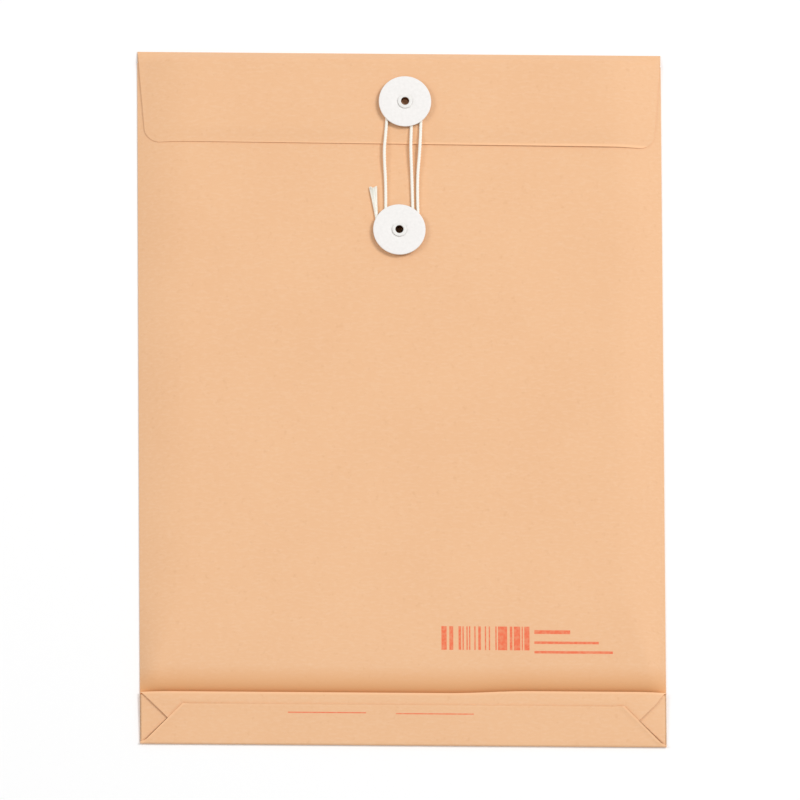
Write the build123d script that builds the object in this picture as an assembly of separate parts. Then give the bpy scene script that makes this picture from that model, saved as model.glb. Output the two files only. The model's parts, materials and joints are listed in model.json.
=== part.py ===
"""A4 kraft string tie envelope, lying on its back with the flap closed and the string wound.

Frame: millimetres, origin on the resting plane under the middle of the pocket.
+X runs to the right of the front face, +Y towards the top fold, +Z out of the front face.
"""

import os
from math import cos, pi, radians, sin, sqrt, tan

from build123d import *

# Pocket
WIDTH = 240.0  # across the side folds
HEIGHT = 330.0  # from the bottom fold to the top fold
PAPER = 0.35  # one layer of kraft board
POCKET_GAP = 5.2  # clear height inside the filled middle of the pocket
SIDE_RUN = 12.0  # width of the slope beside each side fold
END_RUN = 30.0  # length of the slope that runs down to the bottom
MOUTH_SETBACK = 5.5  # from the top fold down to the front panel's free edge
FOLD_CLEARANCE = 0.05  # between a fold roll and the sheet beside it

# Seam that closes the tube along the right side
SEAM_WIDTH = 11.0
SEAM_MARGIN = 4.5  # from the side fold to the seam's outer edge
GLUE = 0.15  # thickness of a dried glue line
SEAM_GLUE_WIDTH = 6.0

# Block bottom, folded up on to the front
BOTTOM_DEPTH = 25.0  # from the bottom fold to the upper fold
BOTTOM_FLAP_DEPTH = 19.5  # of each of the two long bottom flaps
TUCK_UNDERLAP = 5.0  # how far a corner tuck runs under the bottom flaps
BOTTOM_GLUE_WIDTH = 8.0
BOTTOM_GLUE_INSET = 22.0  # from the end of the overlap to the end of the glue line

# Closing flap
FLAP_DEPTH = 45.0  # from the top fold to the free edge
FLAP_TAPER = 3.5  # how much narrower each side is at the free edge
FLAP_CORNER = 7.0  # radius of the two free corners
FLAP_LIFT = 0.9  # air between the flap and the front panel
FLAP_SPINE_RUN = 4.5  # length of the rise from the top fold
FLAP_SIDE_CLEARANCE = 0.5  # from the side fold to the flap's side at the top fold
FOLD_ROLL = 0.35  # radius of the rolled top fold

# Washers, eyelets and string
WASHER_RADIUS = 12.0
WASHER_THICKNESS = 0.8
WASHER_CLEARANCE = 0.06  # radial, on the eyelet's barrel
EYELET_HOLE = 1.8
EYELET_BARREL = 2.3
EYELET_FLANGE = 3.35
EYELET_FLANGE_THICKNESS = 0.5
EYELET_CLINCH = 3.3  # radius of the rolled end behind the paper
EYELET_CLINCH_THICKNESS = 0.4
EYELET_SEAT = 0.05  # air under the flange and around the barrel in the paper
STRING_DIAMETER = 1.5
STRING_AIR = 0.1  # between the string and the paper below or the washer above
TUFT_LENGTH = 8.0
TUFT_RADIUS = 1.8
UPPER_WASHER_SETBACK = 19.5  # from the flap's free edge up to the upper washer's centre
UPPER_WASHER_SHIFT = 2.2  # to the right of the middle
LOWER_WASHER_DROP = 41.5  # from the flap's free edge down to the lower washer's centre
LOWER_WASHER_SHIFT = -0.7  # to the right of the middle

# Heights worked out from the sizes above
FRONT_TOP = PAPER + POCKET_GAP + PAPER
FLAP_TOP = FRONT_TOP + FLAP_LIFT + PAPER
STRING_GAP = STRING_DIAMETER + 2 * STRING_AIR
UPPER_STRING_Z = FLAP_TOP + STRING_AIR + STRING_DIAMETER / 2
LOWER_STRING_Z = FRONT_TOP + STRING_AIR + STRING_DIAMETER / 2

# Places worked out from the sizes above
HALF_WIDTH = WIDTH / 2
TOP_FOLD = HEIGHT / 2
BOTTOM_FOLD = -HEIGHT / 2
BOTTOM_CREASE = BOTTOM_FOLD + BOTTOM_DEPTH / 2  # where the front panel turns back up
MOUTH = TOP_FOLD - MOUTH_SETBACK
FLAP_EDGE = TOP_FOLD - FLAP_DEPTH
UPPER_WASHER = (UPPER_WASHER_SHIFT, FLAP_EDGE + UPPER_WASHER_SETBACK)  # centre on the flap
LOWER_WASHER = (LOWER_WASHER_SHIFT, FLAP_EDGE - LOWER_WASHER_DROP)  # centre on the front panel
HINGE_Y = TOP_FOLD - FOLD_ROLL
HINGE_Z = FOLD_ROLL
END_SLOPE = (FRONT_TOP - PAPER) / END_RUN  # rise per millimetre of the lower slope
SIDE_SLOPE = (FRONT_TOP - PAPER) / SIDE_RUN  # rise per millimetre of each side slope


def outline(*points):
    """A flat face through the given XY points."""
    return make_face(Polyline(*points, close=True))


def rectangle(half, y0, y1):
    """A flat face that is centred on X, from y0 to y1."""
    return outline((-half, y0), (half, y0), (half, y1), (-half, y1))


def frustum(low, high):
    """A closed solid between rectangle low and rectangle high, each given as (half, y0, y1, z)."""
    rings = [Pos(0, 0, z) * rectangle(half, y0, y1) for half, y0, y1, z in (low, high)]
    return loft(rings, ruled=True)


def make_back_panel():
    """The sheet that lies on the table, from the bottom fold to the hinge roll of the flap."""
    y1 = TOP_FOLD - 2 * FOLD_ROLL - FOLD_CLEARANCE
    return extrude(rectangle(HALF_WIDTH, BOTTOM_FOLD, y1), PAPER)


def front_form():
    """The raised form of the filled pocket: sloping sides and lower end, upright at the mouth."""
    low = (HALF_WIDTH, BOTTOM_CREASE, MOUTH, PAPER)
    high = (HALF_WIDTH - SIDE_RUN, BOTTOM_CREASE + END_RUN, MOUTH, FRONT_TOP)
    return frustum(low, high)


def make_front_panel():
    """The front sheet: one paper thick, its rim on the back panel, with the lower eyelet's hole."""
    shell = front_form() - Pos(0, 0, -PAPER) * front_form()
    return shell - eyelet_hole(LOWER_WASHER)


def eyelet_hole(centre):
    """A tall drill for an eyelet's barrel."""
    return Pos(*centre, FLAP_TOP / 2) * Cylinder(EYELET_BARREL + EYELET_SEAT, 2 * FLAP_TOP)


def make_seam_tab():
    """The lap of the front sheet that is glued inside the back panel along the right side."""
    x1 = HALF_WIDTH - SEAM_MARGIN
    y0 = BOTTOM_CREASE + SEAM_WIDTH
    y1 = MOUTH - SEAM_MARGIN
    x0 = x1 - SEAM_WIDTH
    tab = outline((x0, y0 + SEAM_WIDTH), (x1, y0), (x1, y1), (x0, y1 - SEAM_WIDTH))
    return Pos(0, 0, PAPER + GLUE) * extrude(tab, PAPER)


def make_seam_glue():
    """The dried glue line under the seam tab."""
    x = HALF_WIDTH - SEAM_MARGIN - SEAM_WIDTH / 2
    length = MOUTH - BOTTOM_CREASE - 4 * SEAM_WIDTH
    y = (MOUTH + BOTTOM_CREASE) / 2
    return Pos(x, y, PAPER + GLUE / 2) * Box(SEAM_GLUE_WIDTH, length, GLUE)


# Block bottom: a stack of layers on a plane that leans on the front panel's lower slope
RETURN_TOP = PAPER + END_SLOPE * BOTTOM_DEPTH / 2 + PAPER
BOTTOM_LEAN = (RETURN_TOP - PAPER) / BOTTOM_DEPTH
LEAN_LENGTH = sqrt(1 + BOTTOM_LEAN**2)
BOTTOM_PLANE = Plane(
    origin=(0, BOTTOM_FOLD, PAPER),
    x_dir=(1, 0, 0),
    z_dir=(0, -BOTTOM_LEAN / LEAN_LENGTH, 1 / LEAN_LENGTH),
)
PANEL_DEPTH = BOTTOM_DEPTH * LEAN_LENGTH  # the bottom panel, measured along its own slope
FOLD_INSET = 3 * PAPER  # room for the rolled folds at the panel's two long edges


def bottom_layer(face, level, thickness=PAPER):
    """A flat piece of the block bottom, whose underside is level above the leaning plane."""
    return BOTTOM_PLANE * Pos(0, 0, level) * extrude(face, thickness)


def make_front_return():
    """The strip of front sheet that turns back up from the hidden crease to the upper fold."""
    y0 = BOTTOM_CREASE + FOLD_INSET
    y1 = BOTTOM_FOLD + BOTTOM_DEPTH - FOLD_INSET
    z0, z1 = (PAPER + END_SLOPE * (y - BOTTOM_CREASE) for y in (y0, y1))
    x = HALF_WIDTH - SIDE_RUN
    side = Polyline((-x, y0, z0), (-x, y1, z1), (-x, y1, z1 + PAPER), (-x, y0, z0 + PAPER), close=True)
    return extrude(make_face(side), 2 * x, dir=(1, 0, 0))


def make_corner_tuck(side):
    """The triangle of paper folded in at one end of the block bottom; side is -1 left, 1 right."""
    edge = side * HALF_WIDTH
    inner = edge - side * TUCK_UNDERLAP
    apex = edge - side * (PANEL_DEPTH / 2 + TUCK_UNDERLAP)
    low, high = FOLD_INSET, PANEL_DEPTH - FOLD_INSET
    face = outline((edge, low), (inner, low), (apex, PANEL_DEPTH / 2), (inner, high), (edge, high))
    return bottom_layer(face, 0)


def fold_roll(y, low, high):
    """A rolled fold along X on the leaning plane, rounded towards the outside at y."""
    radius = (high - low) / 2
    centre = y + radius if y < PANEL_DEPTH / 2 else y - radius
    roll = Rot(0, 90, 0) * Cylinder(radius, WIDTH)
    return BOTTOM_PLANE * Pos(0, centre, low + radius) * roll


def make_inner_flap():
    """The upper long flap, folded down over the tucks, with its rolled upper fold."""
    low = PANEL_DEPTH - BOTTOM_FLAP_DEPTH
    half = HALF_WIDTH - BOTTOM_FLAP_DEPTH
    fold = PANEL_DEPTH - PAPER
    end = HALF_WIDTH - PAPER
    face = outline((-end, fold), (-half, low), (half, low), (end, fold))
    return bottom_layer(face, PAPER) + fold_roll(PANEL_DEPTH, 0, 2 * PAPER)


def make_outer_flap():
    """The lower long flap, folded up and glued over the inner one, with its rolled bottom fold."""
    half = HALF_WIDTH - BOTTOM_FLAP_DEPTH
    level = 2 * PAPER + GLUE
    fold = (level + PAPER) / 2
    end = HALF_WIDTH - fold
    face = outline((-end, fold), (end, fold), (half, BOTTOM_FLAP_DEPTH), (-half, BOTTOM_FLAP_DEPTH))
    roll = fold_roll(0, 0, level + PAPER)
    cut = BOTTOM_PLANE * Pos(0, level + PAPER, level / 2) * Box(2 * WIDTH, level + PAPER, level)
    return bottom_layer(face, level) + (roll - cut)


def make_bottom_glue():
    """The glue line between the two long flaps of the block bottom."""
    half = HALF_WIDTH - BOTTOM_GLUE_INSET
    y0 = PANEL_DEPTH - BOTTOM_FLAP_DEPTH + FOLD_INSET
    return bottom_layer(rectangle(half, y0, y0 + BOTTOM_GLUE_WIDTH), 2 * PAPER, GLUE)


def flap_form():
    """The raised form of the closed flap, whose sides run parallel to the pocket's slopes."""
    rise = FLAP_TOP - FRONT_TOP + PAPER - HINGE_Z  # height of its side above the hinge, at the side fold
    low = (HALF_WIDTH + rise / SIDE_SLOPE, FLAP_EDGE, HINGE_Y, HINGE_Z)
    high = (HALF_WIDTH - SIDE_RUN, FLAP_EDGE, HINGE_Y - FLAP_SPINE_RUN, FLAP_TOP)
    return frustum(low, high)


def make_flap():
    """The closing flap: spine, sloping sides, tapered outline, rolled fold on the hinge axis."""
    side = HALF_WIDTH - FLAP_SIDE_CLEARANCE
    plan = outline(
        (-side, TOP_FOLD), (side, TOP_FOLD), (side - FLAP_TAPER, FLAP_EDGE), (-side + FLAP_TAPER, FLAP_EDGE)
    )
    plan = fillet(plan.vertices().sort_by(Axis.Y)[:2], FLAP_CORNER)
    shell = flap_form() - Pos(0, -PAPER / 2, -PAPER) * flap_form()
    shell &= Pos(0, 0, HINGE_Z) * extrude(plan, FLAP_TOP)
    roll = Pos(0, HINGE_Y, HINGE_Z) * Rot(0, 90, 0) * Cylinder(FOLD_ROLL, 2 * side)
    return shell + roll - eyelet_hole(UPPER_WASHER)


def make_eyelet(centre, paper_top):
    """A hollow rivet: clinched behind the paper, with a rounded flange above the washer."""
    clinch_top = paper_top - PAPER
    clinch_low = clinch_top - EYELET_CLINCH_THICKNESS
    flange_low = paper_top + STRING_GAP + WASHER_THICKNESS + EYELET_SEAT
    flange_top = flange_low + EYELET_FLANGE_THICKNESS
    lip = EYELET_FLANGE_THICKNESS / 2
    with BuildPart() as rivet:
        with BuildSketch(Plane.XZ):
            with BuildLine():
                Polyline(
                    (EYELET_HOLE, clinch_low),
                    (EYELET_CLINCH, clinch_low),
                    (EYELET_CLINCH, clinch_top),
                    (EYELET_BARREL, clinch_top),
                    (EYELET_BARREL, flange_low),
                    (EYELET_FLANGE - lip, flange_low),
                )
                ThreePointArc(
                    (EYELET_FLANGE - lip, flange_low),
                    (EYELET_FLANGE, flange_low + lip),
                    (EYELET_FLANGE - lip, flange_top),
                )
                Polyline((EYELET_FLANGE - lip, flange_top), (EYELET_BARREL, flange_top))
                RadiusArc(
                    (EYELET_BARREL, flange_top),
                    (EYELET_HOLE, flange_top - (EYELET_BARREL - EYELET_HOLE)),
                    -(EYELET_BARREL - EYELET_HOLE),
                )
                Line((EYELET_HOLE, flange_top - (EYELET_BARREL - EYELET_HOLE)), (EYELET_HOLE, clinch_low))
            make_face()
        revolve(axis=Axis.Z)
    return Pos(*centre, 0) * rivet.part


def make_washer(centre, paper_top):
    """A card washer, loose on the eyelet's barrel, with room for the string under it."""
    card = Cylinder(WASHER_RADIUS, WASHER_THICKNESS)
    rim = card.edges().filter_by(GeomType.CIRCLE)
    card = fillet(rim, WASHER_THICKNESS / 4)
    card -= Cylinder(EYELET_BARREL + WASHER_CLEARANCE, 2 * WASHER_THICKNESS)
    return Pos(*centre, paper_top + STRING_GAP + WASHER_THICKNESS / 2) * card


# String: one unbroken cord from the hitch on the upper eyelet to the loose end.
# Each wrap is a row of corners round an eyelet; the strands between keep the photographed places.
WRAP_STEP = 60.0  # degrees turned at each corner of a wrap
HITCH_RADIUS = EYELET_BARREL + STRING_DIAMETER / 2 + STRING_AIR
INNER_WRAP = 6.4
UPPER_WRAP = 7.6
OUTER_WRAP = 9.0


def wrap(centre, radius, first, last, z):
    """Corner points of a clockwise wrap round centre, from angle first down to angle last."""
    reach = radius / cos(radians(WRAP_STEP / 2))
    count = round((first - last) / WRAP_STEP) + 1
    angles = [radians(first - WRAP_STEP * n) for n in range(count)]
    return [(centre[0] + reach * cos(a), centre[1] + reach * sin(a), z) for a in angles]


FREE_Y = FLAP_EDGE - 2.5  # strands leave the flap's level here
LAND_Y = FLAP_EDGE - 17.0  # and reach the front panel's level here
TAIL_Z = LOWER_STRING_Z

STRING_ROUTE = [
    *wrap(UPPER_WASHER, HITCH_RADIUS, 210, 30, UPPER_STRING_Z),
    (5.1, FREE_Y + 9.5, UPPER_STRING_Z),
    (4.7, FREE_Y, UPPER_STRING_Z),
    (5.3, LAND_Y, LOWER_STRING_Z),
    *wrap(LOWER_WASHER, INNER_WRAP, -30, -150, LOWER_STRING_Z),
    (-6.6, LAND_Y - 3.5, LOWER_STRING_Z),
    (-7.6, FREE_Y - 2.0, UPPER_STRING_Z),
    (-6.4, FREE_Y + 9.0, UPPER_STRING_Z),
    *wrap(UPPER_WASHER, UPPER_WRAP, 150, 30, UPPER_STRING_Z),
    (9.4, FREE_Y + 9.0, UPPER_STRING_Z),
    (8.9, FREE_Y - 1.0, UPPER_STRING_Z),
    (7.6, LAND_Y - 1.5, LOWER_STRING_Z),
    *wrap(LOWER_WASHER, OUTER_WRAP, -30, -150, LOWER_STRING_Z),
    (-11.2, LOWER_WASHER[1] + 7.5, TAIL_Z),
    (-11.75, LOWER_WASHER[1] + 13.2, TAIL_Z),
]
CORNER_SHARE = 0.45  # of the shorter run beside a corner that its arc may take up


def corner_radii(points):
    """The arc at each inner corner, as large as its two runs allow."""
    vectors = [Vector(*p) for p in points]
    radii = []
    for a, b, c in zip(vectors, vectors[1:], vectors[2:]):
        turn = radians((b - a).get_angle(c - b))
        shorter = min((b - a).length, (c - b).length)
        radii.append(CORNER_SHARE * shorter / tan(turn / 2))
    return radii


def string_path():
    """The string's centre line: straight runs joined by tangent arcs."""
    return FilletPolyline(*STRING_ROUTE, radius=corner_radii(STRING_ROUTE))


def make_string():
    """The wound tie string as one tube."""
    path = string_path()
    section = Plane(origin=path @ 0, z_dir=path % 0) * Circle(STRING_DIAMETER / 2)
    return sweep(section, path=path)


def make_tuft():
    """The frayed loose end, a small flared brush in line with the last run."""
    path = string_path()
    cone = Cone(STRING_DIAMETER / 2, TUFT_RADIUS, TUFT_LENGTH)
    brush = Plane(origin=path @ 1, z_dir=path % 1) * Pos(0, 0, TUFT_LENGTH / 2) * cone
    floor = Pos(0, 0, FRONT_TOP + STRING_AIR / 2 - FLAP_TOP) * Box(2 * WIDTH, 2 * HEIGHT, 2 * FLAP_TOP)
    return brush - floor


def report_string():
    """Prints the cord's facts: corner radii, length, volume ratio and least gap to itself."""
    path = string_path()
    radii = corner_radii(STRING_ROUTE)
    section = pi * STRING_DIAMETER**2 / 4
    ratio = make_string().volume / section / path.length
    print("string length", round(path.length, 1), "volume ratio", round(ratio, 4))
    print("string radii", [round(r, 1) for r in radii])
    steps = 600
    spacing = path.length / steps
    points = [path @ (n / steps) for n in range(steps + 1)]
    skip = int(6 * STRING_DIAMETER / spacing)
    gaps = [(points[i] - points[j]).length for i in range(steps + 1) for j in range(i + skip, steps + 1)]
    print("string least gap to itself", round(min(gaps) - STRING_DIAMETER, 2))


PARTS = {
    "back_panel": make_back_panel,
    "front_panel": make_front_panel,
    "side_seam_tab": make_seam_tab,
    "side_seam_glue": make_seam_glue,
    "front_return_strip": make_front_return,
    "bottom_tuck_left": lambda: make_corner_tuck(-1),
    "bottom_tuck_right": lambda: make_corner_tuck(1),
    "bottom_inner_flap": make_inner_flap,
    "bottom_glue_line": make_bottom_glue,
    "bottom_outer_flap": make_outer_flap,
    "closing_flap": make_flap,
    "upper_eyelet": lambda: make_eyelet(UPPER_WASHER, FLAP_TOP),
    "lower_eyelet": lambda: make_eyelet(LOWER_WASHER, FRONT_TOP),
    "upper_washer": lambda: make_washer(UPPER_WASHER, FLAP_TOP),
    "lower_washer": lambda: make_washer(LOWER_WASHER, FRONT_TOP),
    "tie_string": make_string,
    "string_end_tuft": make_tuft,
}


def main():
    os.makedirs("parts", exist_ok=True)
    for node, make in PARTS.items():
        export_step(make(), f"parts/{node}.step")
    report_string()


main()
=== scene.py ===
"""Looks of a kraft string tie envelope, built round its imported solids.

Metres, in the frame of the solids: +X runs to the right of the front face, +Y towards the top fold
and +Z out of the front face. The envelope lies on its back on the floor.
"""

import json
import random
from math import cos, exp, pi, radians, sin, sqrt

import bmesh
import bpy
from bpy.props import FloatProperty, FloatVectorProperty, IntProperty, PointerProperty
from mathutils import Matrix, Vector, noise


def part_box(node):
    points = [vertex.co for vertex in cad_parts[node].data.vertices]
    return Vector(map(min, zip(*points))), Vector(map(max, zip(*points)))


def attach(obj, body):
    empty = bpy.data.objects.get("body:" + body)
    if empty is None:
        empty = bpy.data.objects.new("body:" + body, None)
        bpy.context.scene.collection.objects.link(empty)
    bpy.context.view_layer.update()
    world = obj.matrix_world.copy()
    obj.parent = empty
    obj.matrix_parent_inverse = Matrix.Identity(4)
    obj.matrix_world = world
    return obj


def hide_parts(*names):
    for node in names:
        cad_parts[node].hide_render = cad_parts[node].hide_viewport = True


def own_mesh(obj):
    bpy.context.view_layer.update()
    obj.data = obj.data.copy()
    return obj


bl_info = {
    "name": "String tie envelope",
    "version": (1, 0, 0),
    "blender": (4, 5, 0),
    "location": "View3D > Sidebar > Envelope",
    "description": "Builds the looks of a kraft string tie envelope round its packed solids",
    "category": "Add Mesh",
}

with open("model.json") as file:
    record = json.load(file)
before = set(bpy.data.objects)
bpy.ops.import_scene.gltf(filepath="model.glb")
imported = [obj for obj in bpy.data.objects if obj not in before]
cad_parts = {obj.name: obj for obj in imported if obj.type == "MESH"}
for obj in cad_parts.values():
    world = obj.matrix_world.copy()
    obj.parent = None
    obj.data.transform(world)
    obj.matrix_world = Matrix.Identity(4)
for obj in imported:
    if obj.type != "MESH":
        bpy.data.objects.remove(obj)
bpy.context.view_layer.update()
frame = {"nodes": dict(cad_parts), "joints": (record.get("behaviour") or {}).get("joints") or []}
MM = 0.001

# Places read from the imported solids
BACK_LOW, BACK_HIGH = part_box("back_panel")
FRONT_LOW, FRONT_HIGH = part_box("front_panel")
FLAP_LOW, FLAP_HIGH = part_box("closing_flap")
INNER_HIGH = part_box("bottom_inner_flap")[1]
OUTER_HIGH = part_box("bottom_outer_flap")[1]
HINGE = next(Vector(joint["pos_m"]) for joint in frame["joints"] if joint["name"] == "flap_fold")

PAPER = BACK_HIGH.z
HALF_WIDTH = BACK_HIGH.x
BOTTOM_Y = BACK_LOW.y
TOP_Y = FLAP_HIGH.y
CREASE_Y = FRONT_LOW.y
MOUTH_Y = FRONT_HIGH.y
FLAP_EDGE_Y = FLAP_LOW.y
FRONT_TOP = FRONT_HIGH.z
FLAP_TOP = FLAP_HIGH.z


def centre_of(node):
    """Middle of a node's box."""
    low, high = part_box(node)
    return (low + high) / 2


UPPER_TIE = centre_of("upper_washer")
LOWER_TIE = centre_of("lower_washer")


def linear(code):
    """A colour written as an sRGB hex code, in linear light."""
    channels = [int(code[n : n + 2], 16) / 255 for n in (0, 2, 4)]
    return (*[c / 12.92 if c <= 0.04045 else ((c + 0.055) / 1.055) ** 2.4 for c in channels], 1.0)


def length(name, description, millimetres):
    """A size that a user may change, shown in the scene's units."""
    return FloatProperty(
        name=name, description=description, default=millimetres * MM, min=0.0, unit="LENGTH", precision=5
    )


def colour(name, description, code):
    """A colour that a user may change."""
    return FloatVectorProperty(
        name=name, description=description, default=linear(code), size=4, min=0.0, max=1.0, subtype="COLOR"
    )


class EnvelopeSizes(bpy.types.PropertyGroup):
    """Sizes of the looks, apart from those that come from the solids."""

    sheet: length("Sheet", "Shown thickness of the kraft sheet", 0.3)
    shoulder_run: length("Shoulder", "From a side fold to the level middle of the front", 24.0)
    valley_run: length("Valley", "Reach of the steep dip above the folded bottom", 3.0)
    end_run: length("End slope", "Reach of the gentle slope above the folded bottom", 9.0)
    spine_run: length("Spine", "From the top fold to the level part of the flap", 5.2)
    flap_taper: length("Flap taper", "How much narrower each side of the flap is at its free edge", 3.5)
    flap_corner: length("Flap corner", "Radius of the flap's two free corners", 7.0)
    left_gap: length("Left gap", "Gap under the flap's free edge at its left end", 0.08)
    right_gap: length("Right gap", "Gap under the flap's free edge at its right end", 0.4)
    end_curl: length("End curl", "How far the slanted ends of the bottom flap curl up", 0.35)
    edge_rise: length("Edge rise", "How far the inner bottom flap stands up beside the outer one", 0.3)
    wave: length("Waves", "Height of the soft waves in the front sheet", 0.25)
    ply_pitch: length("Ply pitch", "Length of one turn of the string's twist", 4.2)
    plies: IntProperty(name="Plies", description="Yarns twisted into the string", default=3, min=2, max=6)
    fibres: IntProperty(
        name="Fibres", description="Loose fibres in the frayed end", default=110, min=1, max=300
    )


class EnvelopeColours(bpy.types.PropertyGroup):
    """Colours of the envelope's materials."""

    kraft: colour("Kraft", "Natural kraft board", "EEBC8F")
    kraft_dark: colour("Dark fibre", "Bark flecks and dense fibre in the kraft", "DDA577")
    kraft_pale: colour("Pale fibre", "Long pale fibres in the kraft", "F6CFAC")
    # Painted shade: a dark band painted above the folded bottom's crease, standing in for the shade that
    # falls in that dip
    kraft_crease_painted_shade: colour("Crease", "Pressed and soiled kraft in a crease", "E5A56C")
    # Painted highlight: a pale line painted along a fold or a cut edge, standing in for the light that
    # those edges catch
    kraft_painted_highlight: colour("Worn fold", "Kraft rubbed pale along a fold or a cut edge", "FFC999")
    ink: colour("Ink", "Printed bars and rules", "EE6A41")
    card: colour("Card", "White card of the washers", "F5F2EF")
    lacquer: colour("Lacquer", "White lacquer on the eyelets", "F3F1ED")
    cotton: colour("Cotton", "Bleached cotton string", "FFFDF3")
    # Partly painted shade: the bare brass inside the eyelets is coloured darker than brass, to deepen the
    # shade in the bore
    brass: colour("Bare brass", "Drawn brass inside the eyelets", "8A5A34")
    glue: colour("Glue", "Dried paper glue", "E4D6B8")
    floor: colour("Floor", "Pale studio floor", "FFFFFF")


# Materials


def add(tree, kind, inputs=None, output=0, **settings):
    """Adds a node and gives its output: inputs are values or links, settings are its own properties."""
    node = tree.nodes.new(kind)
    for name, value in settings.items():
        setattr(node, name, value)
    for socket, value in (inputs or {}).items():
        if isinstance(value, bpy.types.NodeSocket):
            tree.links.new(value, node.inputs[socket])
        else:
            node.inputs[socket].default_value = value
    return node.outputs[output]


def start_material(name):
    """A new node material, with its tree, its shader and its Object coordinates."""
    material = bpy.data.materials.new(name)
    material.use_nodes = True
    tree = material.node_tree
    shader = tree.nodes["Principled BSDF"]
    place = add(tree, "ShaderNodeTexCoord", output="Object")
    return material, tree, shader, place


def per_metre(millimetres):
    """Texture scale of a pattern whose features are this wide."""
    return 1 / (millimetres * MM)


def pattern_inputs(place, width, detail):
    """What a texture reads to draw features of a width in millimetres."""
    return {"Vector": place, "Scale": per_metre(width), "Detail": detail}


# Patterns of the materials: width in millimetres and detail
KRAFT_CLOUD = (45, 3.0)
KRAFT_FIBRE = (1.1, 4.0)
KRAFT_FLECK = (2.4, 2.0)
KRAFT_GRAIN = (0.7, 5.0)
INK_PATCH = (1.5, 2.0)
CARD_FELT = (1.4, 4.0)
LACQUER_SCUFF = (0.9, 3.0)
DRAW_MARK = (0.4, 2.0)
COTTON_YARN = (0.5, 4.0)
GLUE_BUBBLE = (1.2, 0.0)
FIBRE_STRETCH = (0.4, 1.0, 1.0)  # draws the kraft's fibres out across the envelope
BUMP_DEPTH = 0.1 * MM
NOISE_SPAN = (0.3, 0.7)  # between which most of a noise pattern's values lie
BUBBLE_SPAN = (0.0, 0.6)  # from the middle of a glue bubble to its rim

# Print on the envelope: (centre x, centre y, half width, half height), in millimetres
BAR_BLOCK = (37.3, -115.3, 21.3, 5.6)
FRONT_RULES = [(68.0, -112.2, 8.2, 0.9), (74.5, -117.2, 14.7, 0.6), (77.7, -121.7, 17.9, 0.6)]
BOTTOM_RULES = [(-34.9, -150.3, 17.8, 0.25), (14.3, -150.6, 17.8, 0.25)]
BAR_MODULE = 0.6  # width of the narrowest bar
BARE_SHARE = 0.45  # of the block's modules, between the bars

# Lines painted on the kraft across the envelope: reach of the painted shade above the folded bottom's
# crease, and of a painted highlight along a fold or a cut edge
CREASE_SHADE_REACH = 12 * MM
CREASE_SHADE_AMOUNT = 1.0
HIGHLIGHT_REACH = 1.1 * MM
HIGHLIGHT_AMOUNT = 0.75

# The bottom's upper fold, made by hand, lies higher to the right of a slight crook
CROOK = 1.2 * MM
CROOK_SPAN = (20 * MM, 58 * MM)

PLAIN_KRAFT = "kraft_board_calendered"


def box_mask(tree, x, y, area):
    """1 inside a printed area, 0 outside."""
    cx, cy, half_x, half_y = (value * MM for value in area)
    across = add(tree, "ShaderNodeMath", {0: x, 1: cx, 2: half_x}, operation="COMPARE")
    along = add(tree, "ShaderNodeMath", {0: y, 1: cy, 2: half_y}, operation="COMPARE")
    return add(tree, "ShaderNodeMath", {0: across, 1: along}, operation="MULTIPLY")


def print_mask(tree, place, rules, bars):
    """Coverage of the ink: plain rules, and a block of bars of chance widths."""
    x = add(tree, "ShaderNodeSeparateXYZ", {0: place}, "X")
    y = add(tree, "ShaderNodeSeparateXYZ", {0: place}, "Y")
    areas = [box_mask(tree, x, y, rule) for rule in rules]
    if bars:
        inputs = {0: x, 1: per_metre(BAR_MODULE)}
        module = add(tree, "ShaderNodeMath", inputs, operation="MULTIPLY")
        cell = add(tree, "ShaderNodeMath", {0: module}, operation="FLOOR")
        chance = add(tree, "ShaderNodeTexWhiteNoise", {"W": cell}, noise_dimensions="1D")
        bar = add(tree, "ShaderNodeMath", {0: chance, 1: BARE_SHARE}, operation="GREATER_THAN")
        block = box_mask(tree, x, y, BAR_BLOCK)
        areas.append(add(tree, "ShaderNodeMath", {0: bar, 1: block}, operation="MULTIPLY"))
    mask = areas[0]
    for area in areas[1:]:
        mask = add(tree, "ShaderNodeMath", {0: mask, 1: area}, operation="MAXIMUM")
    patch = add(tree, "ShaderNodeTexNoise", pattern_inputs(place, *INK_PATCH))
    edges = {"Value": patch, 1: 0.3, 2: 0.6, 3: 0.65, 4: 0.95}
    cover = add(tree, "ShaderNodeMapRange", edges)
    return add(tree, "ShaderNodeMath", {0: mask, 1: cover}, operation="MULTIPLY")


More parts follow.
